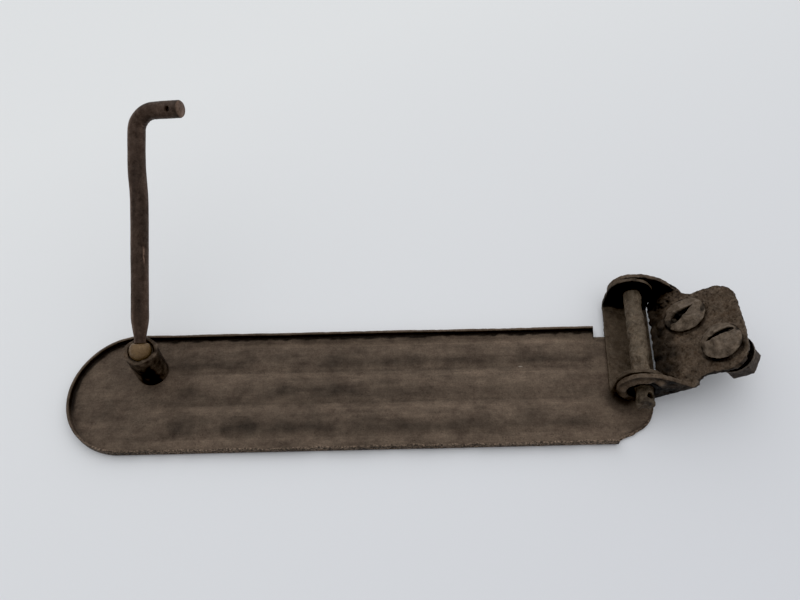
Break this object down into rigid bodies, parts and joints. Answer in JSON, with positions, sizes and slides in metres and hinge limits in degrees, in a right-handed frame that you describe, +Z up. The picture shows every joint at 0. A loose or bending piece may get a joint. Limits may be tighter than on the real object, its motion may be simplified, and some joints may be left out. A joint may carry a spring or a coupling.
{
  "type": "spare tire carrier",
  "caption": "Pressed steel arm that carries a spare tire under a vehicle, with a hinge bracket for the frame at one end and a ball-jointed hook rod at the other.",
  "frame": {"origin": "underside of the arm, at the centre of its round end", "axes": "+X along the arm from the round end toward the hinge, +Y toward the side that the hook rod leans to, +Z up"},
  "size_m": [0.577, 0.2405, 0.1676],
  "materials": {
    "arm_pan": "weathered dark steel, rusty grey brown, worn matt",
    "socket_tube": "rusty steel pipe, dark brown, matt",
    "ball_seat": "rusty steel, dark brown, matt",
    "rod_ball": "tan rusted steel, slightly polished by use",
    "hook_rod": "weathered dark steel bar, brown black, matt",
    "hinge_yoke": "weathered dark steel plate, brown, matt",
    "hinge_pin": "worn steel bar, grey brown",
    "frame_bracket": "rusty steel plate, dark brown, matt",
    "frame_bolt": "worn steel, grey brown",
    "bolt_washer": "worn steel, grey brown",
    "bolt_nut": "worn steel, grey brown"
  },
  "bodies": {
    "arm": {"arm_pan": "arm_pan", "socket_tube": "socket_tube", "hinge_yoke": "hinge_yoke"},
    "seat": {"ball_seat": "ball_seat"},
    "ball": {"rod_ball": "rod_ball"},
    "rod": {"hook_rod": "hook_rod"},
    "pin": {"hinge_pin": "hinge_pin"},
    "bracket": {"frame_bracket": "frame_bracket", "frame_bolt_1": "frame_bolt", "frame_bolt_2": "frame_bolt", "bolt_washer_1": "bolt_washer", "bolt_washer_2": "bolt_washer", "bolt_nut_1": "bolt_nut", "bolt_nut_2": "bolt_nut"}
  },
  "joints": [
    {"name": "seat_turn", "type": "hinge", "parent": "arm", "child": "seat", "pos_m": [0.0135, 0.0216, 0.038], "axis": [0, 0, 1], "continuous": true},
    {"name": "rod_lean", "type": "hinge", "parent": "seat", "child": "ball", "pos_m": [0.0135, 0.0216, 0.038], "axis": [-0.9994, 0.0349, 0], "range_deg": [-108, 0]},
    {"name": "rod_spin", "type": "hinge", "parent": "ball", "child": "rod", "pos_m": [0.0135, 0.0216, 0.038], "axis": [0.0282, 0.8085, 0.5878], "continuous": true},
    {"name": "pin_turn", "type": "hinge", "parent": "arm", "child": "pin", "pos_m": [0.4272, 0, 0.0234], "axis": [0.1045, 0.9945, 0], "continuous": true},
    {"name": "frame_hinge", "type": "hinge", "parent": "arm", "child": "bracket", "pos_m": [0.4272, 0, 0.0234], "axis": [-0.1045, -0.9945, 0], "range_deg": [0, 75]}
  ]
}
